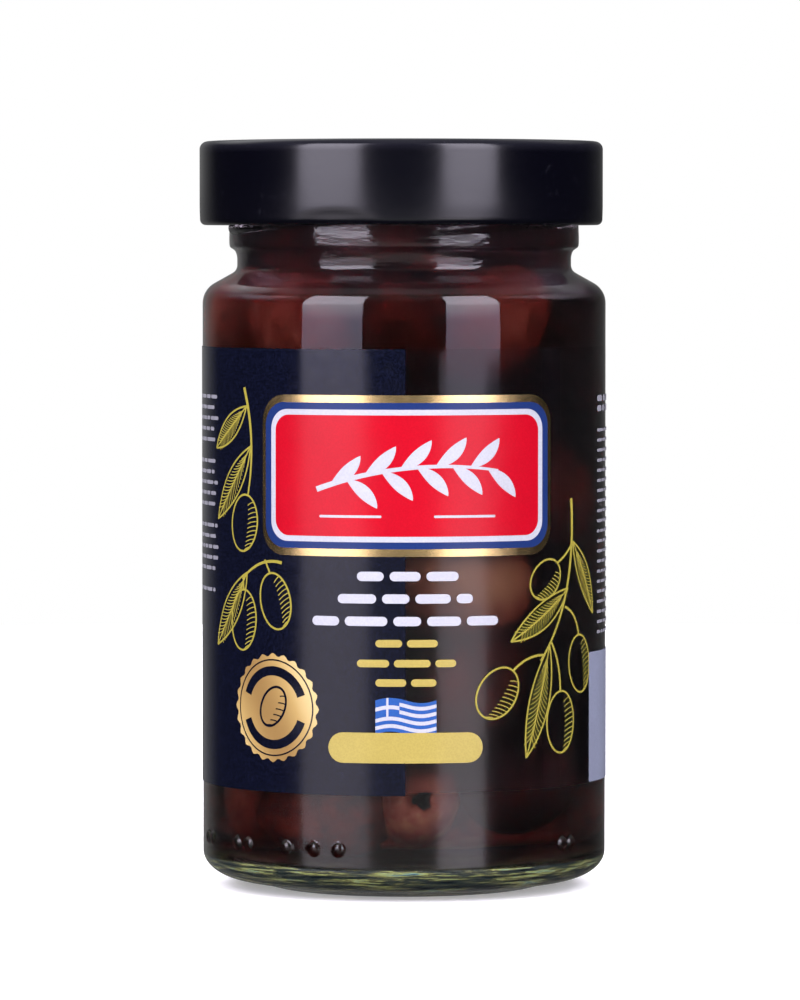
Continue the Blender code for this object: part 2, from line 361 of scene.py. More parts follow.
def by_height(tree, low, high, at_low, at_high):
    """A number that goes from one value to another between two heights, in millimetres."""
    return ranged(height_of(tree), low * MM, high * MM, at_low, at_high)


def absorbing(tree, colour, density):
    """Fills the piece with a medium that only absorbs."""
    medium = node(tree, "ShaderNodeVolumeAbsorption", Color=(*colour, 1), Density=density)
    feed(tree.nodes["Material Output"], "Volume", medium.outputs[0])


def glass_finish(name, shine):
    """Clear container glass: faintly green, softly rippled, and satin where the film lies on it."""
    material, tree, principled = shader(
        name, Base_Color=(0.95, 0.98, 0.94, 1), Specular_Tint=shine, Transmission_Weight=1.0, IOR=1.5
    )
    handled = by_height(tree, 55, 86, 0.155, 0.075)
    covered = by_height(tree, FILM_HIGH - 0.9, FILM_HIGH + 0.6, 1, 0.2)
    feed(principled, "Roughness", maths("MULTIPLY", covered, handled))
    bumped(principled, noise(tree, 90, 2.0, stretch=(1, 1, 0.4)), 0.0004, 0.25)
    return material


def neck_finish():
    """The neck and shoulder: the same glass, slightly hazed, with level drag lines from the mould."""
    material, tree, principled = shader(
        "clear_glass_neck", Base_Color=(0.95, 0.82, 0.98, 1), Transmission_Weight=0.996, IOR=1.5
    )
    drag = noise(tree, 170, 4.0, 0.6, stretch=(0.45, 0.45, 2.2))
    feed(principled, "Roughness", ranged(drag, 0.35, 0.65, 0.02, 0.10))
    bumped(principled, maths("MULTIPLY", drag, by_height(tree, 100, 104, 0.2, 1.0)), 0.0009, 0.4)
    return material


def foot_finish():
    """The thick foot of the jar: greener glass that scatters some light, with painted light in its colour:
    long bright yellow-green and dark streaks that stand in for light carried through the thick glass.
    """
    material, tree, principled = shader("clear_glass_foot_painted_streaks", Transmission_Weight=0.7, IOR=1.5, Roughness=0.12)
    # Painted light: the bright streaks in the foot's colour stand in for light carried through the thick
    # glass; the bump follows them.
    painted_light_streak = ranged(noise(tree, 300, 5.0, 0.7, stretch=(0.36, 0.36, 6)), 0.36, 0.66, 0.0, 1.0)
    stops = (
        (0.0, (0.01, 0.02, 0.03)),
        (0.4, (0.06, 0.09, 0.09)),
        (0.58, (0.22, 0.24, 0.12)),
        (0.75, (0.95, 1.00, 0.26)),
        (0.9, (0.50, 0.90, 0.70)),
        (1.0, (0.10, 0.30, 0.40)),
    )
    feed(principled, "Base Color", ramp(painted_light_streak, stops))
    bumped(principled, painted_light_streak, 0.0003, 0.4)
    return material


def brine_finish():
    """Dark wine-red brine, murkier from the film's low edge up."""
    material, tree, principled = shader(
        "brine",
        Base_Color=(1.0, 0.97, 0.95, 1),
        Specular_Tint=(0.03, 0.03, 0.03, 1),
        Transmission_Weight=1.0,
        IOR=1.345,
    )
    behind_film = by_height(tree, FILM_LOW - 0.5, FILM_LOW + 0.5, 0.08, 0.29)
    murk = maths("ADD", behind_film, by_height(tree, 50, 90, 0, 0.04))
    feed(principled, "Roughness", murk)
    bumped(principled, noise(tree, 120, 1.0), 0.0002, 0.1)
    absorbing(tree, (0.62, 0.20, 0.27), 250)
    return material


def olive_finish():
    """Olive skin: the tone at each point, from nearly black to tan, which is each olive's own tone with
    painted light and painted shade in it, mottled, with fine pores and speckles.
    """
    material, tree, principled = shader("olive_skin", Roughness=0.55, IOR=1.12, Specular_IOR_Level=0.05)
    tone = node(tree, "ShaderNodeAttribute", attribute_name="tone").outputs["Fac"]
    mottle = ranged(noise(tree, 260, 5.0, 0.62), 0.3, 0.7, -0.16, 0.16)
    speckle = ranged(noise(tree, 1500, 2.0), 0.55, 0.72, 0.0, 0.10)
    value = maths("ADD", maths("ADD", tone, mottle), speckle)
    stops = (
        (0.0, (0.010, 0.004, 0.007)),
        (0.35, (0.046, 0.010, 0.010)),
        (0.62, (0.185, 0.036, 0.024)),
        (0.82, (0.340, 0.115, 0.080)),
        (1.0, (0.480, 0.250, 0.130)),
    )
    feed(principled, "Base Color", ramp(value, stops))
    bumped(principled, noise(tree, 700, 4.0), 0.0003, 0.35)
    return material


def lid_finish():
    """Black lacquer on tinplate: satin, with fine orange peel, a duller, dusty foot, and its top made paler
    as a painted sheen.
    """
    material, tree, principled = shader("black_lacquer", Specular_IOR_Level=0.45)
    grain = noise(tree, 1400, 3.0)
    foot = by_height(tree, 117, 110, 0.0, 0.065)
    rough = maths("ADD", ranged(grain, 0.3, 0.7, 0.18, 0.20), foot)
    feed(principled, "Roughness", rough)
    dust = ranged(noise(tree, 420, 6.0, 0.7), 0.62, 0.8, 0.0, 1.0)
    # Specks of dust, and the top made paler all over: a painted sheen.
    dust_and_painted_sheen = maths("ADD", dust, by_height(tree, LID_TOP - 2.0, LID_TOP - 0.9, 0.0, 0.55))
    colour = ramp(dust_and_painted_sheen, ((0.0, (0.0012, 0.0012, 0.0034)), (1.0, (0.012, 0.012, 0.018))))
    feed(principled, "Base Color", colour)
    bumped(principled, noise(tree, 900, 2.0), 0.00003, 0.10)
    return material


def film_finish():
    """Clear film, faintly milky, with a soft gloss."""
    material, tree, principled = shader("clear_film", Alpha=0.03, Specular_IOR_Level=0.1)
    feed(principled, "Roughness", ranged(noise(tree, 300, 3.0), 0.3, 0.7, 0.16, 0.24))
    cloud = ramp(noise(tree, 60, 3.0), ((0.3, (0.010, 0.008, 0.011)), (0.7, (0.022, 0.018, 0.024))))
    feed(principled, "Base Color", cloud)
    return material


def ink_finish(name, colour, roughness=0.24, gloss=0.22, metallic=0.0, dots=0.06, rubbed=0.0):
    """Printing ink under the film's gloss, with the fine screen of the print and a slight unevenness.

    rubbed is how much rougher the lower half of the film is.
    """
    material, tree, principled = shader(name, Metallic=metallic, Specular_IOR_Level=gloss)
    screen = node(tree, "ShaderNodeTexVoronoi", Scale=3200.0)
    feed(screen, "Vector", object_place(tree))
    fleck = ranged(screen.outputs["Distance"], 0.1, 0.8, 1 - dots, 1 + dots)
    cloud = ranged(noise(tree, 150, 3.0), 0.3, 0.7, 0.96, 1.04)
    tint = node(tree, "ShaderNodeVectorMath", operation="SCALE")
    tint.inputs[0].default_value = colour
    feed(tint, "Scale", maths("MULTIPLY", fleck, cloud))
    feed(principled, "Base Color", tint.outputs[0])
    rough = ranged(noise(tree, 500, 3.0), 0.3, 0.7, roughness - 0.03, roughness + 0.03)
    if rubbed:
        rough = maths("ADD", rough, by_height(tree, 55, 86, rubbed, 0.0))
    feed(principled, "Roughness", rough)
    return material


def sheened_gold():
    """The seal's gold, with a painted sheen: slanting bands from pale to brown that stand in for the light
    the gold reflects.
    """
    material, tree, principled = shader("seal_gold_ink", Specular_IOR_Level=0.22, Roughness=0.25)
    mapping = node(tree, "ShaderNodeMapping", Rotation=(0, 0.5, 0.2))
    feed(mapping, "Vector", object_place(tree))
    # Painted sheen: the wave's pale and brown bands stand in for reflections on the gold.
    wave = node(tree, "ShaderNodeTexWave", Scale=16.0, Distortion=1.2, Detail=0.0)
    feed(wave, "Vector", mapping.outputs[0])
    golds = ((0.0, (0.30, 0.18, 0.06)), (0.5, (0.48, 0.32, 0.11)), (1.0, (0.70, 0.54, 0.24)))
    feed(principled, "Base Color", ramp(wave.outputs["Fac"], golds))
    bumped(principled, noise(tree, 1500, 2.0), 0.00003, 0.1)
    return material


# Glass, brine and olives


def ripple(bearing, height, phase):
    """A slow unevenness of the wall: three waves round and up the jar, in millimetres."""
    turn = np.radians(bearing)
    return (
        0.5 * np.sin(3 * turn + phase + 0.05 * height)
        + 0.3 * np.sin(7 * turn - 0.11 * height + 2 * phase)
        + 0.2 * np.sin(5 * turn + 0.23 * height + 3 * phase)
    )


def outer_relief(radius, height, bearing):
    """How far the outside stands proud: the thread's ridges, the dots, the mould seams and a ripple."""
    outside = radius > np.where(height > NECK_FROM, NECK_RADIUS - 0.5, JAR_RADIUS - 0.6)
    proud = np.zeros_like(radius)
    for start in THREAD_STARTS:
        share = ((bearing - start + 40) % 360 - 40) / THREAD_SPAN
        swell = np.clip(4 * np.sin(np.pi * np.clip(0.04 + 0.92 * share, 0, 1)), 0, 1)
        away = (height - THREAD_LOW - THREAD_RISE * share) / (0.5 + 0.6 * swell)
        ridge = (THREAD_OUT - THREAD_BASE) * swell * np.clip(1 - away**2, 0, 1) ** 0.7
        proud = np.maximum(proud, np.where((share > 0) & (share < 1), ridge, 0))
    for dot in DOT_BEARINGS:
        across = np.radians(turn_from(dot, bearing)) * JAR_RADIUS / DOT_HALF_WIDTH
        away = across**2 + ((height - DOT_HEIGHT) / DOT_HALF_HEIGHT) ** 2
        proud = np.maximum(proud, DOT_PROUD * np.sqrt(np.clip(1 - away, 0, 1)))
    for seam in SEAM_BEARINGS:
        across = np.radians(turn_from(seam + SEAM_STEP * (height > NECK_FROM), bearing)) * JAR_RADIUS
        proud = proud + np.where(height < 110, SEAM_PROUD * np.exp(-((across / SEAM_WIDTH) ** 2)), 0)
    size, phase = OUTER_RIPPLE
    return np.where(outside & (height < 119), proud + size * ripple(bearing, height, phase), 0)


def inner_relief(radius, height, bearing):
    """The stronger ripple on the inside of the wall, which the brine follows."""
    nearest, farthest = RIPPLED_RADII
    lowest, highest = RIPPLED_HEIGHTS
    inside = (radius > nearest) & (radius < farthest) & (height > lowest) & (height < highest)
    size, phase = INNER_RIPPLE
    return np.where(inside, size * ripple(bearing, height, phase), 0)


def glass_relief(radius, height, bearing):
    """The relief of both sides of the glass."""
    return outer_relief(radius, height, bearing) + inner_relief(radius, height, bearing)


def inner_profile(clearance):
    """The inside of the glass from the lip down to the middle of the floor, moved outwards by clearance."""
    bend = 4.5
    rise = SHOULDER_RADIUS - WALL
    neck = np.array([(MOUTH_RADIUS, 120.8), (MOUTH_RADIUS - 0.5, 102.6), (26.1, 100.8)])
    shoulder = arc((JAR_RADIUS - SHOULDER_RADIUS, BODY_TOP), (rise, rise), SHOULDER_TURN, 0, 8)
    floor = arc((JAR_RADIUS - WALL - bend, FLOOR_HEIGHT + bend), (bend, bend), 0, -90, 12)
    path = np.concatenate([neck, shoulder, floor, [(12.0, 5.6), (0.0, 6.2)]])
    run = np.gradient(path, axis=0)
    normal = np.stack([-run[:, 1], run[:, 0]], 1) / np.hypot(run[:, 0], run[:, 1])[:, None]
    moved = path + clearance * normal
    moved[-1, 0] = 0
    return moved


def outer_profile():
    """The outside of the glass from the middle of the foot up to the lip's inner edge."""
    foot = softened(np.array([(0, 2.6), (12.0, 2.2), (17.6, 1.2), (19.6, 0.25), (FOOT_RING[0], 0.0)]), 2)
    ring = np.array([(FOOT_RING[1], 0.0), (22.6, 0.15)])
    heel_centre = (JAR_RADIUS - HEEL_RADIUS, HEEL_LOW + HEEL_RISE)
    heel = arc(heel_centre, (HEEL_RADIUS, HEEL_RISE), -88, 0, 16)
    dots = np.array([(JAR_RADIUS, z) for z in np.arange(7.2, 10.1, 0.22)])
    shoulder_centre = (JAR_RADIUS - SHOULDER_RADIUS, BODY_TOP)
    shoulder = arc(shoulder_centre, (SHOULDER_RADIUS, SHOULDER_RADIUS), 0, SHOULDER_TURN, 14)
    neck = arc((NECK_RADIUS + 1.5, 102.2), (1.5, 1.5), 238, 180, 6)
    under = [(NECK_RADIUS + out, z) for out, z in ((0, 102.9), (0, 103.5), (0.2, 104.3), (0.5, 104.7))]
    band = under + [(THREAD_BASE, 105.1), (BAND_RADIUS, 105.7), (BAND_RADIUS, 106.6)]
    threads = np.array([(BAND_RADIUS - 0.008 * i, 106.8 + 0.22 * i) for i in range(26)])
    finish = [(28.4, 114.0), (28.4, 119.4), (28.2, 121.2), (27.0, GLASS_TOP), (26.2, GLASS_TOP)]
    lip = softened(np.array(finish + [(MOUTH_RADIUS, 120.9)]), 2)
    return np.concatenate([foot, ring, heel, dots, shoulder, neck, softened(np.array(band), 2), threads, lip])


def glass_bearings():
    """Bearings round the glass, closer together at the raised dots and the mould seams."""
    even = np.arange(0, 360, 1.6)
    fine = [dot + np.arange(-2.0, 2.01, 0.4) for dot in DOT_BEARINGS]
    seams = [seam + step + np.arange(-1.2, 1.21, 0.3) for seam in SEAM_BEARINGS for step in (0, SEAM_STEP)]
    return np.unique(np.round(np.concatenate([even, *fine, *seams]) % 360, 2))


def make_glass(outside_glass, wet_glass, foot_glass, neck_glass):
    """The glass as one piece, whose inside, foot and neck have finishes of their own."""
    outside = outer_profile()
    profile = filled(np.concatenate([outside, inner_profile(0.0)]), PROFILE_STEP)
    bearings = glass_bearings()
    glass = piece_from("jar_glass", [turned(profile, bearings, glass_relief)], outside_glass)
    for material in (wet_glass, foot_glass, neck_glass):
        glass.data.materials.append(material)
    row = np.arange(len(glass.data.polygons)) // len(bearings)
    inside_rows = row >= len(filled(outside, PROFILE_STEP))
    foot_rows = row < np.argmax(profile[:, 1] > FOOT_TO)
    neck_rows = profile[row, 1] > NECK_FROM + 0.5
    kinds = np.select([inside_rows, foot_rows, neck_rows], [1, 2, 3], 0)
    glass.data.polygons.foreach_set("material_index", kinds.astype(np.int32))
    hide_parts("glass_jar")


def make_brine(material):
    """The brine fills the jar and reaches just into the glass, so that no air gap shows."""
    wall = inner_profile(BRINE_BITE)
    wall = wall[wall[:, 1] < BRINE_TOP]
    top = np.array([(0.0, BRINE_TOP), (20.0, BRINE_TOP), (24.6, BRINE_TOP + 0.2), (25.5, BRINE_TOP + 0.9)])
    profile = filled(np.concatenate([top, wall]), PROFILE_STEP)[::-1]
    piece_from("brine", [turned(profile, np.arange(0, 360, 2.5), inner_relief)], material)


def pack_radius_at(height):
    """The radius of the space for olives at each height, from the heel up to the neck."""
    return np.interp(height, PACK_HEIGHTS, PACK_RADII)


def at_bearing(bearing, radius, height):
    """The point at a bearing, a distance from the axis and a height."""
    angle = np.radians(bearing)
    return np.array((radius * np.sin(angle), -radius * np.cos(angle), height))


def settled_olives():
    """Centres, long axes, half lengths and girths of the olives, packed as they lie in the jar.

    Each olive stands for three balls in a row. Balls of two olives that overlap push each other apart, the
    wall and the floor push them in, and all sink a little at each step. The placed olives never move.
    """
    rng = np.random.default_rng(11)
    count = OLIVE_COUNT
    half_length = rng.uniform(*OLIVE_HALF_LENGTH, count)
    girth = half_length * rng.uniform(*OLIVE_GIRTH, count)
    turn = rng.uniform(0, 2 * np.pi, count)
    spread = 20 * np.sqrt(rng.uniform(0, 1, count))
    held = len(PLACED_OLIVES)
    floor = PACK_HEIGHTS[0]
    height = np.concatenate([np.zeros(held), np.linspace(floor + 8, PACK_TOP - 8, count - held)])
    centre = np.stack([spread * np.sin(turn), -spread * np.cos(turn), height], 1)
    axis = rng.normal(0, 1, (count, 3))
    axis[:, 2] *= 0.8
    for i, (bearing, z, radius, half, share, (across, outwards, up)) in enumerate(PLACED_OLIVES):
        outward = at_bearing(bearing, 1, 0)
        sideways = at_bearing(bearing + 90, 1, 0)
        centre[i] = at_bearing(bearing, radius, z)
        axis[i] = across * sideways + outwards * outward + up * np.array((0, 0, 1))
        half_length[i], girth[i] = half, half * share
    axis /= np.linalg.norm(axis, axis=1)[:, None]
    ball = np.stack([END_BALL * girth, girth, END_BALL * girth], 1)
    reach = (half_length - ball[:, 0])[:, None] * np.array((-1, 0, 1))
    same = np.repeat(np.arange(count), 3)
    other = same[:, None] != same[None]
    held_centre, held_axis = centre[:held].copy(), axis[:held].copy()
    radii = ball.ravel()
    for step in range(SETTLE_STEPS):
        at = (centre[:, None] + reach[:, :, None] * axis[:, None]).reshape(-1, 3)
        apart = at[:, None] - at[None]
        distance = np.linalg.norm(apart, axis=2) + 1e-9
        overlap = np.where(other, radii[:, None] + radii[None] - distance, 0).clip(0)
        push = 0.5 * (apart / distance[:, :, None] * overlap[:, :, None]).sum(1)
        out = np.linalg.norm(at[:, :2], axis=1) + 1e-9
        beyond = (out + radii - pack_radius_at(at[:, 2])).clip(0)
        push[:, :2] -= at[:, :2] / out[:, None] * beyond[:, None]
        push[:, 2] += (floor + radii - at[:, 2]).clip(0) - (at[:, 2] + radii - PACK_TOP).clip(0)
        push = push.reshape(count, 3, 3)
        centre += SETTLE_MOVE * push.sum(1)
        axis += SETTLE_TURN * (push * (reach / half_length[:, None] ** 2)[:, :, None]).sum(1)
        axis /= np.linalg.norm(axis, axis=1)[:, None]
        centre[:, 2] -= SINK_STEP * max(0.0, 1 - step / (SINK_SHARE * SETTLE_STEPS))
        centre[:held], axis[:held] = held_centre, held_axis
    return centre, axis, half_length, girth


def olive_surface(centre, axis, half_length, girth, rng):
    """One olive: rows from the bottom of the pit's hole, over its ragged rim, to the far tip.

    Its columns run round its axis. The body is an ellipse of revolution, a little plumper at the pitted end,
    times one plus slow dents, creases that gather at the hole and fine wrinkles. Where it would pass through
    the glass it is pressed flat.
    """
    turn = np.linspace(0, 2 * np.pi, OLIVE_COLUMNS, endpoint=False)
    phases = rng.uniform(0, 2 * np.pi, 8)
    ragged = 1 + 0.17 * np.sin(3 * turn + phases[0]) + 0.05 * np.sin(5 * turn + phases[1])
    rim = np.arcsin(PIT_RADIUS / girth)
    angle = np.concatenate([np.linspace(rim, 0.5, 5)[:-1], np.linspace(0.5, np.pi, 26)])[:, None]
    slide = (angle - rim) / (np.pi - rim)
    plump = 1 + 0.06 * np.cos(angle)
    dents = 0.035 * np.sin(2 * turn + phases[2] + angle) + 0.02 * np.sin(3 * turn + phases[3] - 2 * angle)
    gathers = 0.05 * np.exp(-7 * slide) * np.sin(9 * turn + phases[4])
    wrinkle = 0.006 * np.sin(14 * turn + 9 * angle + phases[5]) * np.sin(11 * angle + phases[6])
    out = girth * np.sin(angle) * plump * (1 + (dents + wrinkle) * np.sin(angle) + gathers)
    edge = np.exp(-9 * slide)
    out = out * (1 + (ragged - 1) * edge)
    along = half_length * np.cos(angle) * np.ones_like(turn)
    top = along[0, 0]
    depth = np.array([1.0, 0.96, 0.7, 0.4, 0.15, 0.04])[:, None]
    width = np.array([0.0, 0.55, 0.7, 0.78, 0.84, 0.93])[:, None]
    hole_out = out[:1] * width
    hole_along = top - PIT_DEPTH * depth * np.ones_like(turn)
    out = np.concatenate([hole_out, out])
    along = np.concatenate([hole_along, along])
    out[-1] = 0
    side = np.cross(axis, (0.31, 0.57, 0.76))
    side /= np.linalg.norm(side)
    other = np.cross(axis, side)
    points = centre + along[:, :, None] * axis + out[:, :, None] * (
        np.cos(turn)[None, :, None] * other + np.sin(turn)[None, :, None] * side
    )
    limit = pack_radius_at(points[:, :, 2])
    reach = np.linalg.norm(points[:, :, :2], axis=2)
    pressed = limit - PRESS_SOFTNESS * np.log1p(np.exp((limit - reach) / PRESS_SOFTNESS))
    points[:, :, :2] *= (np.maximum(pressed, 0) / np.maximum(reach, 1e-6))[:, :, None]
    points[:, :, 2] = np.clip(points[:, :, 2], PACK_HEIGHTS[0], PACK_TOP)
    return points


def core_relief(radius, height, bearing):
    """Lumps on the dark core, which fills the middle of the jar behind the olives."""
    return np.where(radius > 10, 1.4 * np.sin(np.radians(5 * bearing) + height / 4) * np.sin(height / 3.1), 0)


def make_olives(material):
    """The olives and the core behind them, with a tone at each point: painted shade, darkest in the pit
    holes, and painted light on the olives at the back and on the core's bottom and top.
    """
    rng = np.random.default_rng(5)
    parts, tones = [], []
    centre, axis, half_length, girth = settled_olives()
    draw = rng.uniform(0, 1, len(centre))
    # Olives behind the axis get paler tones: painted light for the light that reaches the back of the jar
    # less.
    tone_and_painted_light = np.where(centre[:, 1] > 6, 0.35 + 0.5 * draw, 0.55 * draw**1.3)
    tone_and_painted_light[: len(PLACED_TONES)] = PLACED_TONES
    for i in range(len(centre)):
        points = olive_surface(centre[i], axis[i], half_length[i], girth[i], rng)
        rows, columns = points.shape[:2]
        points, faces, used = with_poles(points, grid_faces(rows, columns, across=True)[:, ::-1])
        parts.append((points, faces))
        # Painted shade: the tone falls nearly to black down in the pit's hole.
        painted_hole_shade = np.interp(np.arange(rows), (3, 6, 8), (0.04, 0.8, 1.0))
        tones.append(np.repeat(painted_hole_shade, columns)[used] * tone_and_painted_light[i])
    outline = [(0, 7.4), (23, 7.4), (25, 11), (22.5, 20), (22.5, 93), (20.5, 101), (20.5, 111), (0, 111)]
    core = filled(softened(np.array(outline, float), 2), 2.0)
    core_points, core_faces = turned(core, np.arange(0, 360, 4), core_relief)
    parts.append((core_points, core_faces))
    # The core is made paler at its bottom and its top: painted light on the core there.
    tones.append(np.interp(core_points[:, 2], (8, 14, 92, 98), (0.85, 0.30, 0.30, 0.62)))
    olives = piece_from("olives_pitted", parts, material, np.concatenate(tones))
    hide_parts("olives")


# The lid


def lug_press(radius, height, bearing):
    """Pushes the foot of the skirt inwards at each lug, over a low arch that fades out at its edge."""
    pressed = np.zeros_like(radius)
    rise = (height - LID_LOW) / LUG_HEIGHT
    for lug in LUG_BEARINGS:
        depth = np.clip(1 - (turn_from(lug, bearing) / LUG_HALF_ANGLE) ** 2 - rise**2, 0, 1)
        pressed = np.maximum(pressed, LUG_DEPTH * depth**2 * (3 - 2 * depth))
    return np.where(radius > MOUTH_RADIUS, -pressed, 0)


def lid_outside():
    """The lid's profile from the middle of its top over the rim, down the skirt and round the curled foot."""
    panel_top = LID_TOP - PANEL_DROP
    button_top = panel_top - BUTTON_DROP
    button = softened(np.array([(0, button_top), (9.6, button_top), (11.2, panel_top), (12.6, panel_top)]), 2)
    step = softened(np.array([(23.6, panel_top), (24.9, panel_top), (25.9, LID_TOP), (27.4, LID_TOP)]), 2)
    rim = arc((LID_RADIUS - LID_EDGE, LID_TOP - LID_EDGE), (LID_EDGE, LID_EDGE), 90, 0, 12)
    drop = np.linspace(LID_TOP - LID_EDGE - 0.5, LID_LOW + 1.3, 26)
    low = np.clip((LID_LOW + 3.6 - drop) / 2.3, 0, 1)
    skirt = np.stack([LID_RADIUS - SKIRT_TUCK * low**2, drop], 1)
    curl_centre = (LID_RADIUS - SKIRT_TUCK - 0.01 - CURL_RADIUS, LID_LOW + CURL_RADIUS)
    curl = arc(curl_centre, (CURL_RADIUS, CURL_RADIUS), -4, -180, 12)
    return filled(np.concatenate([button, step, rim, skirt, curl]), 0.6)


def lid_inside():
    """The lid's profile from its curl up the inside and under the top to the middle."""
    land_low = LID_TOP - SHEET
    panel_low = LID_TOP - PANEL_DROP - SHEET
    wall = [(31.3, LID_LOW + 1.4), (LID_INSIDE, LID_LOW + 2.6), (LID_INSIDE, LID_TOP - 2.4), (31.4, land_low)]
    under = np.array([(25.5, land_low), (24.6, panel_low), (0, panel_low - 0.1)])
    return filled(np.concatenate([softened(np.array(wall), 2), under]), 1.5)


def make_lid(material):
    """The pressed lid, which sits a little to one side of the jar's axis."""
    profile = np.concatenate([lid_outside(), lid_inside()])[::-1]
    points, faces = turned(profile, np.arange(0, 360, 1.5), lug_press)
    lid = piece_from("twist_lid", [(points + (LID_SHIFT, 0, 0), faces)], material)
    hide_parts("lid")


# The film and its print


def on_film(across, height, proud):
    """Points on the label, from millimetres round the film, height, and distance outside the film."""
    radius = FILM_RADIUS + FILM_THICKNESS + proud
    angle = across / FILM_RADIUS
    height, angle = np.broadcast_arrays(height, angle)
    return np.stack([radius * np.sin(angle), -radius * np.cos(angle), height], -1)


def strip(across, low, high, proud):
    """A filled shape: at each place across, from its low to its high edge."""
    across = np.asarray(across, float)
    height = np.stack([np.broadcast_to(low, across.shape), np.broadcast_to(high, across.shape)], 1)
    points = on_film(across[:, None], height, proud)
    return points, grid_faces(*height.shape)[:, ::-1]


def stroke(path, width, proud):
    """A line drawn along a path of (across, height) points: the path moved half its width to either side."""
    path = np.asarray(path, float)
    run = np.gradient(path, axis=0)
    normal = np.stack([-run[:, 1], run[:, 0]], 1) / (np.hypot(run[:, 0], run[:, 1])[:, None] + 1e-9)
    half = 0.5 * np.broadcast_to(width, len(path))[:, None]
    sides = np.stack([path + half * normal, path - half * normal], 1)
    return on_film(sides[:, :, 0], sides[:, :, 1], proud), grid_faces(len(path), 2)


def disc(centre, radius, proud, rings=6):
    """A filled round shape: rings of the outline radius(angle), from the middle out."""
    share = np.linspace(0, 1, rings + 1)[:, None]
    angle = np.linspace(0, 2 * np.pi, 121)[:-1]
    reach = share * radius(angle)
    points = on_film(centre[0] + reach * np.cos(angle), centre[1] + reach * np.sin(angle), proud)
    return points, grid_faces(rings + 1, 120, across=True)


def ring(centre, inner, outer, proud, start=0, end=360):
    """A flat ring or a part of one, between two radii and two angles."""
    angle = np.radians(np.linspace(start, end, 61))
    reach = np.array([[outer], [inner]])
    points = on_film(centre[0] + reach * np.cos(angle), centre[1] + reach * np.sin(angle), proud)
    return points, grid_faces(2, 61)


def capsule(left, right, low, high, proud):
    """A bar with round ends."""
    half = (high - low) / 2
    turn = np.linspace(0, np.pi / 2, 7)
    across = np.concatenate([left + half - half * np.cos(turn), right - half + half * np.sin(turn)])
    across = filled(np.stack([across, across * 0], 1), 1.0)[:, 0]
    away = np.clip(np.maximum(left + half - across, across - right + half), 0, half)
    rise = np.sqrt(np.maximum(half**2 - away**2, 0))
    return strip(across, (low + high) / 2 - rise, (low + high) / 2 + rise, proud)


def plaque(centre, half_width, half_height, corner, proud):
    """A filled rounded rectangle."""
    turn = np.linspace(0, np.pi / 2, 13)
    left = centre[0] - half_width + corner * (1 - np.cos(turn))
    right = centre[0] + half_width - corner + corner * np.sin(turn)
    across = np.concatenate([left, np.arange(left[-1] + 0.8, right[0] - 0.1, 0.8), right])
    away = np.clip(np.abs(across - centre[0]) - half_width + corner, 0, corner)
    rise = half_height - corner + np.sqrt(np.maximum(corner**2 - away**2, 0))
    return strip(across, centre[1] - rise, centre[1] + rise, proud)


def curve(start, bend, end, count=16):
    """Points on a parabola from start to end that leans towards bend."""
    t = np.linspace(0, 1, count)[:, None]
    start, bend, end = np.array(start, float), np.array(bend, float), np.array(end, float)
    return (1 - t) ** 2 * start + 2 * t * (1 - t) * bend + t**2 * end


def leaf(base, tip, belly, proud, width=0.30, veins=17):
    """A drawn leaf: two outlines that lean to either side, a midrib, and slanting veins."""
    base, tip = np.array(base, float), np.array(tip, float)
    run = tip - base
    side = np.array((-run[1], run[0])) / np.hypot(*run)
    lines = []
    for lean, count, share in ((1.7, 22, 1.0), (-1.3, 22, 1.0), (0.2, 14, 0.9)):
        path = curve(base, (base + tip) / 2 + side * belly * lean, tip, count)
        lines.append(stroke(path, width * share, proud))
    for t in np.linspace(0.08, 0.78, veins):
        foot = base + run * t + side * belly * 0.2 * 2 * t * (1 - t)
        ahead = base + run * min(1, t + 0.12)
        bow = 2 * t * (1 - t) * belly
        for reach in (bow * 1.45, -bow * 1.05):
            lines.append(stroke(curve(foot, (foot + ahead) / 2, ahead + side * reach, 5), width * 0.5, proud))
    return lines


def berry(centre, half_length, half_width, tilt, proud, width=0.32, hatch=11):
    """A drawn olive: an oval outline and short curved hatching down one side."""
    tilt = np.radians(tilt)
    along, side = np.array((np.sin(tilt), np.cos(tilt))), np.array((np.cos(tilt), -np.sin(tilt)))
    turn = np.linspace(0, 2 * np.pi, 49)[:, None]
    outline = centre + half_length * np.cos(turn) * along + half_width * np.sin(turn) * side
    lines = [stroke(outline, width, proud)]
    for t in np.linspace(-0.8, 0.8, hatch):
        edge = half_width * np.sqrt(1 - t * t)
        start = centre + half_length * t * along + 0.95 * edge * side
        end = centre + half_length * (t - 0.16) * along + 0.30 * edge * side
        bend = (start + end) / 2 + 0.05 * half_length * along
        lines.append(stroke(curve(start, bend, end, 6), width * 0.5, proud))
    return lines


def words(left, right, low, high, proud, rng, shortest=2.0, longest=5.0):
    """A line of print as plain bars of uneven length."""
    bars, at = [], left
    while at < right - 0.8:
        end = min(right, at + rng.uniform(shortest, longest))
        if right - end < 1.4:
            end = right
        bars.append(capsule(at, end, low, high, proud))
        at = end + WORD_GAP * (high - low)
    return bars


def thick(points, faces):
    """A sheet given the ink's thickness: an inner copy facing in, and a wall along each edge of one face."""
    outer = points.reshape(-1, 3)
    inner = outer - INK_THICKNESS * outer * (1, 1, 0) / np.hypot(outer[:, 0], outer[:, 1])[:, None]
    count = len(outer)
    edges = np.concatenate([faces[:, [i, (i + 1) % 4]] for i in range(4)])
    edges = edges[edges[:, 0] != edges[:, 1]]
    a, b = edges[~np.isin(edges @ (count, 1), edges @ (1, count))].T
    wall = np.stack([b, a, a + count, b + count], 1)
    return np.concatenate([outer, inner]), np.concatenate([faces, faces[:, ::-1] + count, wall])


def inked(name, parts, material):
    """A layer of print: its shapes as one piece with the ink's thickness."""
    return piece_from(name, [thick(*part) for part in parts], material, crease=INK_CREASE)


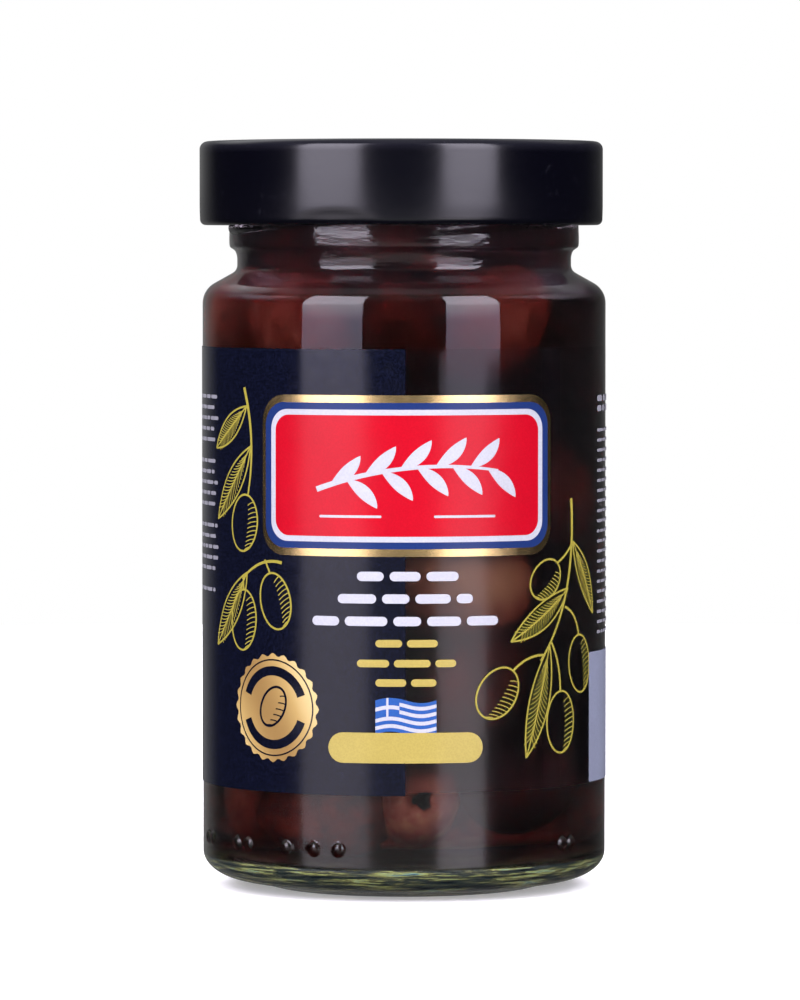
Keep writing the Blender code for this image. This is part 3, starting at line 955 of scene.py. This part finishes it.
def make_film(material):
    """The film as one strip wound round the jar, its end lapped over its start."""
    bearing = np.linspace(FILM_SEAM, FILM_SEAM + FILM_TURN, FILM_COLUMNS)
    share = np.linspace(0, 1, FILM_COLUMNS)
    inner = FILM_RADIUS + LAP_RISE * np.clip((share - LAP_FROM) / (1 - LAP_FROM), 0, 1)
    thickness = FILM_THICKNESS * np.where(share < 0.96, 1, 0.8)
    height = np.array([FILM_LOW, FILM_LOW, FILM_HIGH, FILM_HIGH])[:, None]
    radius = inner + thickness * np.array([0, 1, 1, 0])[:, None]
    points = round_axis(radius, np.broadcast_to(height, radius.shape), bearing)
    walls = grid_faces(4, FILM_COLUMNS, along=True)
    start = np.arange(4) * FILM_COLUMNS
    faces = np.concatenate([walls, [start[::-1], start + FILM_COLUMNS - 1]])
    film = piece_from("label_clear_film", [(points, faces)], material, crease=INK_CREASE)
    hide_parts("label_film")


def across_at(bearing):
    """Millimetres round the film at a bearing."""
    return np.radians(bearing) * FILM_RADIUS


def stem(start, bend, end, count, widths):
    """A drawn stem that thins from its first width to its last."""
    return stroke(curve(start, bend, end, count), np.linspace(*widths, count), 2 * INK)


def twig_on_sign(x, z):
    """A pale twig with ten leaves, and a short bar under each half of it."""
    parts = []
    for side in (-1, 1):
        ends = sorted((x + side * 4.2, x + side * 14.5))
        parts.append(capsule(*ends, z - 6.7, z - 6.3, 6 * INK))
    branch = (x - 15, z - 2.2), (x, z + 3.2), (x + 15, z + 0.8)
    parts.append(stroke(curve(*branch, 40), np.linspace(0.9, 0.4, 40), 6 * INK))
    swell = 2.1 * np.sin(np.pi * np.linspace(0, 1, 18)) ** 0.8 + 0.02
    for t, side in zip(np.linspace(0.08, 0.94, 10), (1, -1) * 5):
        foot = curve(*branch, 101)[int(100 * t)]
        tip = foot + np.array((5.0, side * 4.6))
        spine = curve(foot, foot + (tip - foot) * 0.5 + np.array((0.8, -0.5 * side)), tip, 18)
        parts.append(stroke(spine, swell, 6 * INK))
    return parts


def bar_rows(rows, rng, shortest, longest):
    """Rows of plain bars, each row given as (low, high, left, right)."""
    bars = []
    for low, high, left, right in rows:
        bars += words(left, right, low, high, 2 * INK, rng, shortest, longest)
    return bars


def flag_wave(across):
    """The flag's slow wave up and down."""
    return 0.42 * np.sin((across + 4.6) / 9.8 * 2 * np.pi)


def flag_band(across, low_share, high_share, proud):
    """A band of the waving flag, between two shares of its height."""
    low, tall = 27.3, 5.4
    wave = flag_wave(across)
    return strip(across, low + tall * low_share + wave, low + tall * high_share + wave, proud)


def flag_shapes():
    """The white parts and the blue parts of the striped flag with its cross."""
    flag = np.linspace(-4.6, 5.2, 29)
    canton = flag[flag < -0.55]
    post = flag[(flag > -3.1) & (flag < -2.2)]
    cross = [flag_band(canton, 0.665, 0.78, 4 * INK), flag_band(post, 4 / 9, 1, 5 * INK)]
    blue = [flag_band(canton, 4 / 9, 1, 3 * INK)]
    for i in range(0, 9, 2):
        across = flag if i < 4 else flag[flag > -0.75]
        blue.append(flag_band(across, i / 9, (i + 1) / 9, 3 * INK))
    return [flag_band(flag, 0, 1, 2 * INK)] + cross, blue


def seal_edge(angle):
    """The seal's scalloped radius."""
    return 8.55 + 0.28 * np.cos(24 * angle)


def seal_marks(x, z):
    """A thin ring, two broad arcs and an olive on the seal."""
    marks = [ring((x, z), 7.6, 7.85, 3 * INK)]
    for start in (20, 200):
        marks.append(ring((x, z), 5.2, 6.7, 3 * INK, start, start + 140))
    return marks + berry((x, z + 0.2), 3.4, 2.4, 30, 3 * INK, 0.4, 6)


def sprigs():
    """The sprigs of olives on both halves of the label."""
    stems = (
        ((-29.5, 82.5), (-26.4, 74), (-28.6, 65.0), 30, (0.6, 0.35)),
        ((-21.0, 54.4), (-25.5, 55.4), (-30.0, 51.5), 30, (0.5, 0.35)),
        ((-24.6, 54.8), (-24.0, 53.8), (-23.5, 52.7), 6, (0.35, 0.35)),
        ((-29.6, 51.8), (-29.9, 50.8), (-29.6, 49.8), 6, (0.35, 0.35)),
        ((31.5, 64.5), (33.0, 49), (24.0, 38.5), 40, (0.65, 0.35)),
        ((31.9, 57.5), (30.6, 55.6), (27.9, 54.2), 8, (0.4, 0.4)),
        ((29.8, 47), (33.0, 46), (33.8, 42.2), 10, (0.4, 0.4)),
        ((24.6, 39.4), (21, 39.6), (18.3, 37.0), 12, (0.4, 0.4)),
        ((26.4, 41.4), (28.6, 38), (28.6, 33.4), 12, (0.4, 0.4)),
    )
    leaves = (
        ((-28.9, 79.5), (-38.5, 72.5), 2.5),
        ((-27.9, 73.0), (-37.8, 61.0), 2.8),
        ((-28.8, 52.6), (-38.0, 40.5), 3.0),
        ((32.0, 57.5), (39.0, 45.5), 2.4),
        ((30.6, 50.0), (18.0, 41.8), 2.6),
        ((26.0, 41.0), (21.0, 23.0), 2.8),
    )
    berries = (
        ((-29.6, 60.6), 4.6, 3.3, 8),
        ((-22.4, 48.2), 4.6, 3.1, -14),
        ((-29.8, 44.9), 4.9, 3.2, 4),
        ((25.2, 51.6), 3.7, 2.9, 50),
        ((34.2, 37.6), 4.7, 3.3, -6),
        ((15.6, 33.6), 4.5, 3.4, 38),
        ((28.8, 28.4), 5.0, 3.4, 2),
    )
    lines = [stem(*values) for values in stems]
    for values in leaves:
        lines += leaf(*values, 2 * INK)
    for values in berries:
        lines += berry(*values, 2 * INK)
    return lines


def small_rows(rng):
    """The small print at both edges that show, as rows of short bars."""
    rows = []
    for i, z in enumerate(np.arange(80.5, 48, -1.75)):
        if i % 6 != 5:
            right = across_at(-65) - 2.0 * rng.uniform(0, 1)
            rows += words(across_at(-86), right, z, z + 0.6, 2 * INK, rng, 1.5, 4.0)
    for i, z in enumerate(np.arange(80.0, 42, -1.65)):
        if i != 2:
            right = across_at(112) - 6.0 * rng.uniform(0, 1)
            rows += words(across_at(71), right, z, z + (1.0 if i < 2 else 0.5), 2 * INK, rng, 1.5, 4.5)
    return rows


def make_print():
    """The layers of print, each a multiple of INK proud of the film."""
    rng = np.random.default_rng(3)
    navy = ink_finish("navy_ink", (0.0026, 0.0034, 0.0100), 0.13, 0.36, dots=0.8, rubbed=0.06)
    foil = ink_finish("gold_foil", (0.80, 0.58, 0.26), gloss=0.5, metallic=1.0)
    blue = ink_finish("blue_ink", (0.012, 0.030, 0.130))
    white = ink_finish("white_ink", (0.475, 0.485, 0.53))
    red = ink_finish("red_ink", (0.47, 0.002, 0.013))
    gold = ink_finish("gold_ink", (0.42, 0.335, 0.085))
    line = ink_finish("gold_line_ink", (0.34, 0.29, 0.045))
    pale = ink_finish("lavender_ink", (0.205, 0.225, 0.300))
    grey = ink_finish("grey_ink", (0.24, 0.24, 0.27))
    flag_blue = ink_finish("flag_blue_ink", (0.025, 0.095, 0.33))

    panel = strip(np.arange(across_at(-165), across_at(0.6), 0.6), FILM_LOW + 0.05, FILM_HIGH - 0.05, INK)
    inked("print_navy_panel", [panel], navy)
    sign = (across_at(1.0), 68.6)
    inked("print_foil_rim", [plaque(sign, 25.6, 12.9, 4.4, 2 * INK)], foil)
    inked("print_blue_border", [plaque(sign, 24.9, 11.7, 3.8, 3 * INK)], blue)
    inked("print_red_field", [plaque(sign, 22.8, 9.7, 2.6, 5 * INK)], red)
    pale_rows = ((51.8, 53.3, -7.6, 8.8), (48.2, 49.7, -10.8, 11.2), (44.6, 46.1, -15.2, 15.6))
    golden_rows = ((41.2, 42.4, -4.6, 5.4), (38.0, 39.2, -7.6, 8.4), (34.9, 36.1, -4.6, 5.2))
    fields = [plaque(sign, 23.7, 10.6, 3.2, 4 * INK)] + twig_on_sign(*sign)
    fields += bar_rows(pale_rows, rng, 4.0, 8.0)
    golden = bar_rows(golden_rows, rng, 3.0, 6.0) + [capsule(-12.4, 12.9, 22.6, 27.5, 4 * INK)]
    flag_white_parts, flag_blue_parts = flag_shapes()
    inked("print_flag_blue", flag_blue_parts, flag_blue)
    seal = (across_at(-39.4), 31.0)
    inked("print_seal", [disc(seal, seal_edge, 2 * INK)], sheened_gold())
    inked("print_seal_marks", seal_marks(*seal), navy)
    inked("print_sprigs", sprigs(), line)
    inked("print_small_lines", small_rows(rng), grey)
    inked("print_gold_bars", golden, gold)
    inked("print_white", fields + flag_white_parts, white)
    inked("print_plain_box", [plaque((across_at(86), 28.6), 12.4, 10.6, 0.3, 2 * INK)], pale)


# Camera, light and floor


def softbox(name, bearing, rows, low_glow=1.6, mirrored=True):
    """An upright glowing panel a metre away, dimmer below the jar's top.

    Its rows are (height, side, side) in metres, the sides measured from its middle towards larger bearings.
    One that isn't mirrored gives only soft light, and shows in no gloss.
    """
    material = bpy.data.materials.new(name)
    material.use_nodes = True
    tree = material.node_tree
    tree.nodes.clear()
    glow = node(tree, "ShaderNodeEmission")
    level = ranged(height_of(tree), -0.06, 0.17, 0.0, 1.0)
    levels = (0.0, 0.39, 0.60, 0.76, 1.0)
    strengths = [(value,) * 3 for value in (low_glow, 1.6, 2.0, 4.2, 6.8)]
    feed(glow, "Strength", ramp(level, list(zip(levels, strengths))))
    tints = ((1.0, 0.93, 1.02), (0.98, 0.92, 1.30), (1.0, 0.94, 1.13), (1.0, 0.94, 1.10))
    feed(glow, "Color", ramp(level, list(zip(levels[1:], tints))))
    output = node(tree, "ShaderNodeOutputMaterial")
    feed(output, "Surface", glow.outputs[0])
    angle = np.radians(bearing)
    middle = np.array((np.sin(angle), -np.cos(angle), 0))
    across = np.array((np.cos(angle), np.sin(angle), 0))
    corners = [middle + across * side + (0, 0, height) for height, *sides in rows for side in sides]
    mesh = bpy.data.meshes.new(name)
    mesh.from_pydata([c.tolist() for c in corners], [], grid_faces(len(rows), 2).tolist())
    mesh.materials.append(material)
    panel = in_scene(name, mesh)
    panel.visible_camera = False
    panel.visible_glossy = mirrored


def make_light():
    """Two panels in front, whose lower parts reach nearer the middle, two behind, a lamp and the room."""
    left = ((-0.22, -0.33, 0.39), (0.060, -0.33, 0.39), (0.066, -0.33, 0.33), (0.95, -0.33, 0.33))
    right = ((-0.22, -0.36, 0.13), (0.060, -0.36, 0.13), (0.066, -0.28, 0.28), (0.95, -0.28, 0.28))
    back = ((0.5, -0.35, 0.35), (1.3, -0.35, 0.35))
    softbox("softbox_left", -41.0, left, low_glow=1.8)
    softbox("softbox_right", 39.0, right, low_glow=2.6)
    softbox("softbox_back_left", -125.0, back, mirrored=False)
    softbox("softbox_back_right", 125.0, back, mirrored=False)
    lamp = bpy.data.lights.new("overhead", "SUN")
    lamp.angle = np.radians(100)
    lamp.energy = 3.4
    in_scene("overhead", lamp).visible_glossy = False
    make_room()


def make_room():
    """The room: white to the camera, and to the jar dim, but paler behind, overhead and low in front."""
    world = bpy.data.worlds.new("studio")
    world.use_nodes = True
    bpy.context.scene.world = world
    tree = world.node_tree
    tree.nodes.clear()
    place = node(tree, "ShaderNodeTexCoord")
    parts = node(tree, "ShaderNodeSeparateXYZ")
    feed(parts, 0, place.outputs["Generated"])
    behind = ranged(parts.outputs["Y"], 0.68, 0.97, 0.0, 1.0)
    side = ranged(parts.outputs["X"], -0.4, 0.4, 0.28, 0.07)
    above = ranged(parts.outputs["Z"], 0.45, 0.95, 0.016, 0.30)
    high = ranged(parts.outputs["Z"], 0.35, 0.6, 0.0, 1.0)
    far = ranged(parts.outputs["Y"], 0.2, 0.6, 0.0, 1.2)
    leftward = ranged(parts.outputs["X"], -0.45, 0.1, 1.0, 0.3)
    backdrop = maths("MULTIPLY", maths("MULTIPLY", high, far), leftward)
    low = ranged(parts.outputs["Z"], -0.044, -0.060, 0.0, 1.0)
    table = maths("MULTIPLY", ranged(parts.outputs["Y"], -0.6, -0.85, 0.0, 0.42), low)
    room = maths("ADD", maths("MULTIPLY", behind, side), above)
    room = maths("ADD", maths("ADD", room, backdrop), table)
    seen = node(tree, "ShaderNodeLightPath").outputs["Is Camera Ray"]
    mixed = node(tree, "ShaderNodeMix", data_type="FLOAT")
    feed(mixed, 0, seen)
    feed(mixed, 2, room)
    mixed.inputs[3].default_value = 1.0
    background = node(tree, "ShaderNodeBackground", Color=(1, 1, 1, 1))
    feed(background, "Strength", mixed.outputs[0])
    output = node(tree, "ShaderNodeOutputWorld")
    feed(output, "Surface", background.outputs[0])


def make_floor():
    """A pale round floor, brighter to the camera than to the jar, and left out of the jar's gloss."""
    material, tree, principled = shader(
        "pale_floor", Specular_IOR_Level=0.1, Roughness=0.7, Emission_Strength=1.0
    )
    seen = node(tree, "ShaderNodeLightPath").outputs["Is Camera Ray"]
    for socket, unseen_grey, seen_grey in (("Base Color", 0.35, 0.92), ("Emission Color", 0.0, 0.30)):
        greys = ((0.0, (unseen_grey,) * 3), (1.0, (seen_grey,) * 3))
        feed(principled, socket, ramp(seen, greys))
    mesh = bpy.data.meshes.new("floor")
    angle = np.linspace(0, 2 * np.pi, FLOOR_SIDES, endpoint=False)
    rim = np.stack([FLOOR_RADIUS * np.cos(angle), FLOOR_RADIUS * np.sin(angle), 0 * angle], 1)
    mesh.from_pydata(rim.tolist(), [], [list(range(FLOOR_SIDES))])
    mesh.materials.append(material)
    floor = in_scene("floor", mesh)
    floor.visible_glossy = False
    floor.visible_shadow = False


def make_camera():
    """A long lens a little over a metre away, level with the shoulder and looking slightly down."""
    lens = bpy.data.cameras.new("camera")
    lens.lens = CAMERA_LENS
    lens.sensor_width = 36
    lens.sensor_fit = "AUTO"
    camera = in_scene("camera", lens)
    camera.location = (0, -CAMERA_DISTANCE, CAMERA_HEIGHT)
    camera.rotation_euler = (np.radians(90 - CAMERA_TILT), 0, np.radians(CAMERA_TURN))
    bpy.context.scene.camera = camera


bpy.context.scene.view_settings.view_transform = "Standard"
make_glass(
    glass_finish("clear_glass", (1, 1, 1, 1)),
    glass_finish("clear_glass_wet", (0.05, 0.05, 0.05, 1)),
    foot_finish(),
    neck_finish(),
)
make_brine(brine_finish())
make_olives(olive_finish())
make_lid(lid_finish())
make_film(film_finish())
make_print()
make_light()
make_floor()
make_camera()
